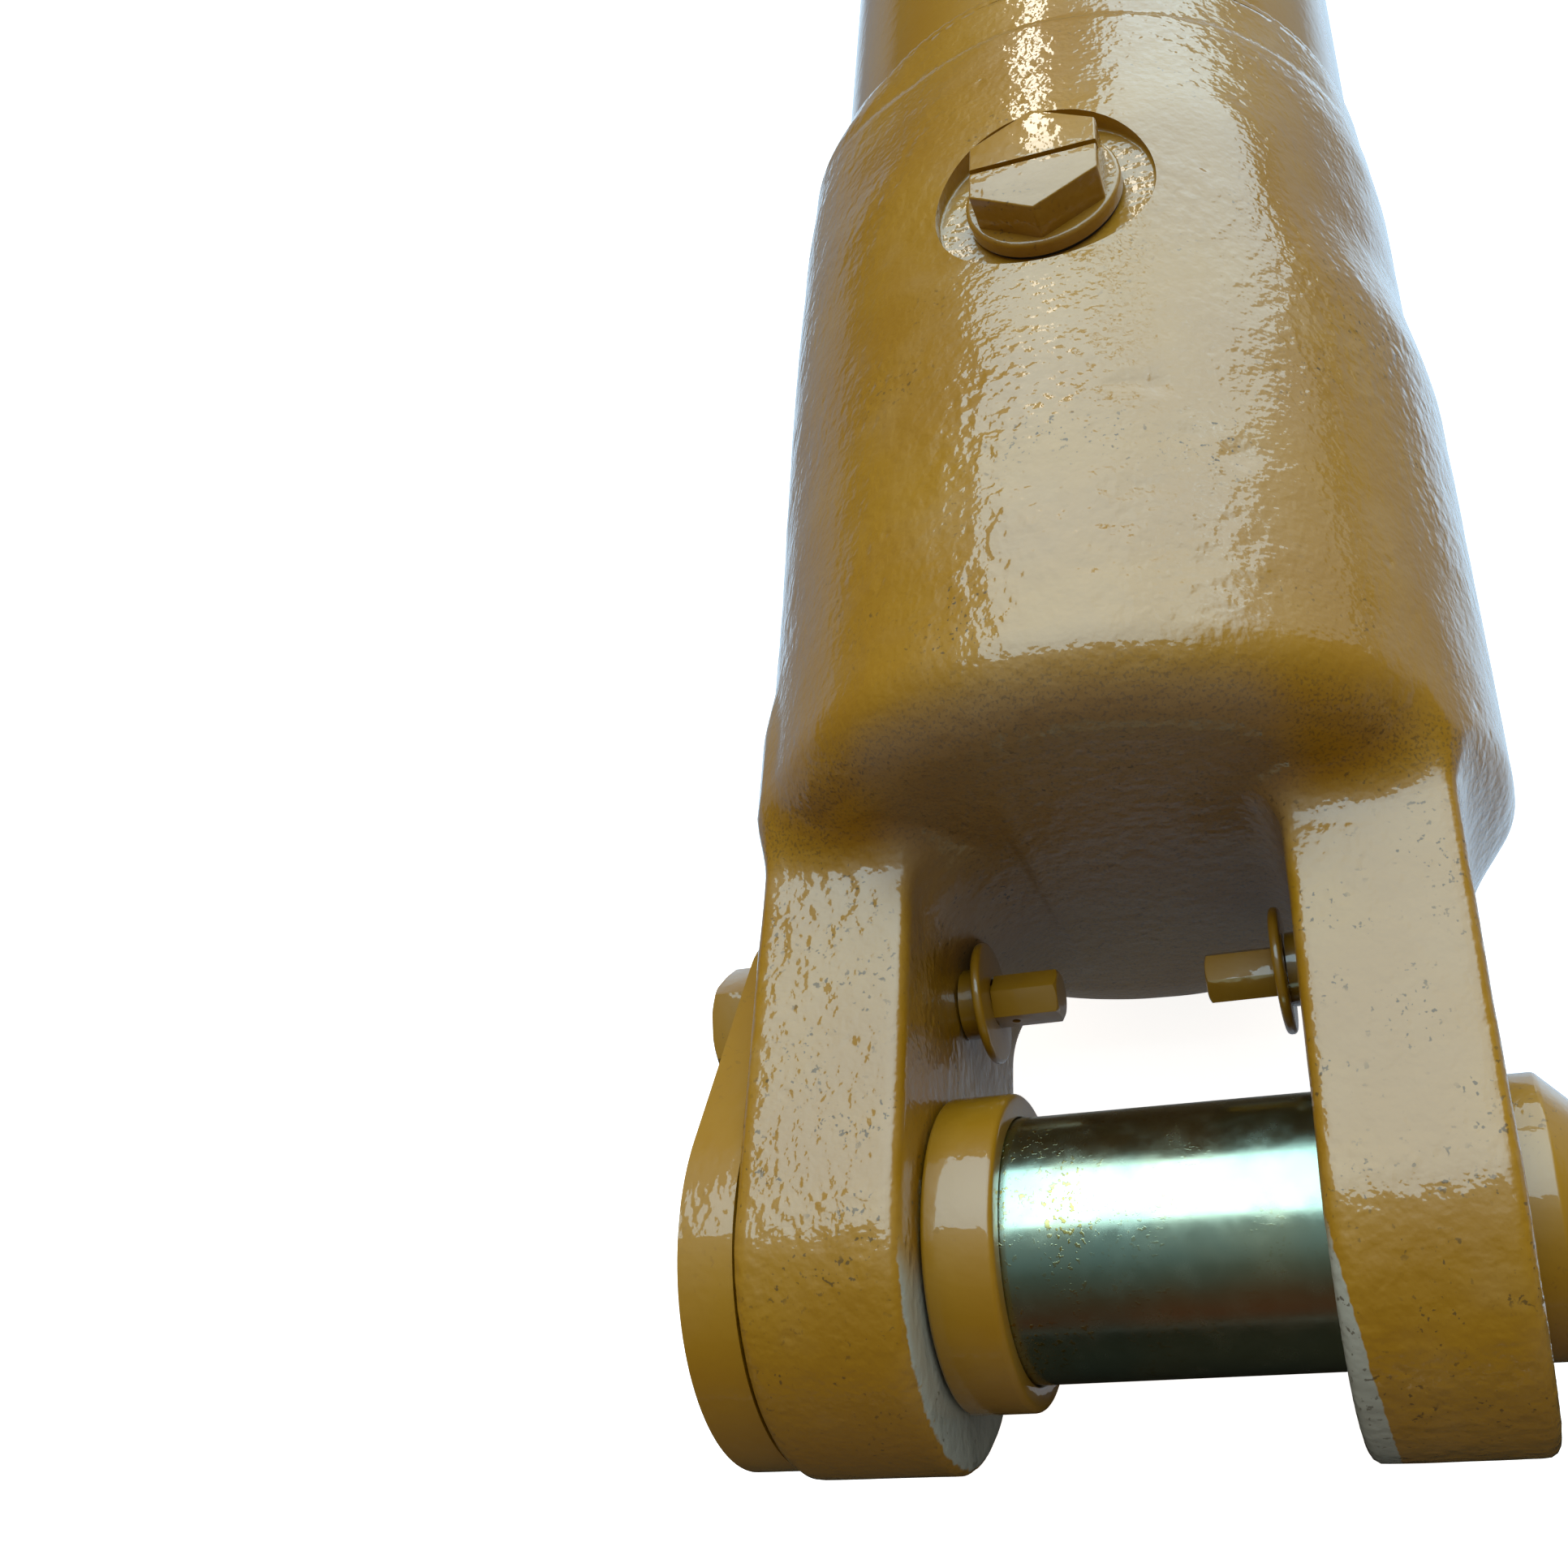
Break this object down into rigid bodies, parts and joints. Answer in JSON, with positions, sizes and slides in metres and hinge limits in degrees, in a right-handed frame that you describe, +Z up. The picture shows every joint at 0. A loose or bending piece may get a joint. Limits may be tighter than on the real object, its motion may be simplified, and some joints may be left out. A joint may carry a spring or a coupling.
{
  "type": "hydraulic cylinder",
  "caption": "Double-acting hydraulic cylinder with a cast clevis base, a flag-locked pin, bolted head gland and a bushed rod eye.",
  "frame": {"origin": "centre of the base clevis pin, midway between the ears", "axes": "+X along the base pin away from the flag plate, +Y along the cylinder towards the rod eye, +Z up through the base port"},
  "size_m": [0.1731, 0.8585, 0.171],
  "materials": {
    "yellow_paint": "glossy enamel over rough casting",
    "zinc_yellow": "yellow chromate zinc plate",
    "chrome": "ground and polished hard chrome",
    "machined_steel": "turned steel",
    "dark_steel": "black oxide",
    "black_rubber": "nitrile rubber",
    "polyurethane": "moulded polyurethane",
    "guide_ring_resin": "cloth-filled phenolic",
    "brass_zinc": "plated grease nipple"
  },
  "bodies": {
    "cylinder": {"barrel_tube": "yellow_paint", "base_clevis": "yellow_paint", "base_plug_seal": "black_rubber", "base_port_plug": "yellow_paint", "casting_weld": "yellow_paint", "clevis_pin": "zinc_yellow", "collar_weld": "yellow_paint", "ear_stop_bolts": "yellow_paint", "ear_stop_collars": "yellow_paint", "ear_stop_washers": "yellow_paint", "flag_bolt": "yellow_paint", "flag_weld": "yellow_paint", "gland_backup_ring": "guide_ring_resin", "gland_bolts": "dark_steel", "gland_oring": "black_rubber", "head_collar": "yellow_paint", "head_gland": "yellow_paint", "head_plug_seal": "black_rubber", "head_port_plug": "yellow_paint", "pin_flag_plate": "yellow_paint", "rod_buffer_seal": "polyurethane", "rod_seal": "polyurethane", "rod_wear_ring": "guide_ring_resin", "rod_wiper": "polyurethane"},
    "piston_seals": {"piston_seal": "polyurethane", "piston_guide_rings": "guide_ring_resin"},
    "rod": {"piston_rod": "chrome", "piston": "machined_steel", "piston_nut": "machined_steel", "rod_static_oring": "black_rubber", "rod_eye": "yellow_paint", "rod_eye_bush": "machined_steel", "rod_eye_seals": "polyurethane", "grease_fitting": "brass_zinc"},
    "pin_spacer": {"pin_spacer": "yellow_paint"}
  },
  "joints": [
    {"name": "rod_slide", "type": "slide", "parent": "cylinder", "child": "piston_seals", "axis": [0, 1, 0], "range_m": [0, 0.25]},
    {"name": "rod_turn", "type": "hinge", "parent": "piston_seals", "child": "rod", "pos_m": [0, 0.6, 0], "axis": [0, 1, 0], "continuous": true},
    {"name": "spacer_slide", "type": "slide", "parent": "cylinder", "child": "pin_spacer", "axis": [1, 0, 0], "range_m": [0, 0.0582]}
  ]
}
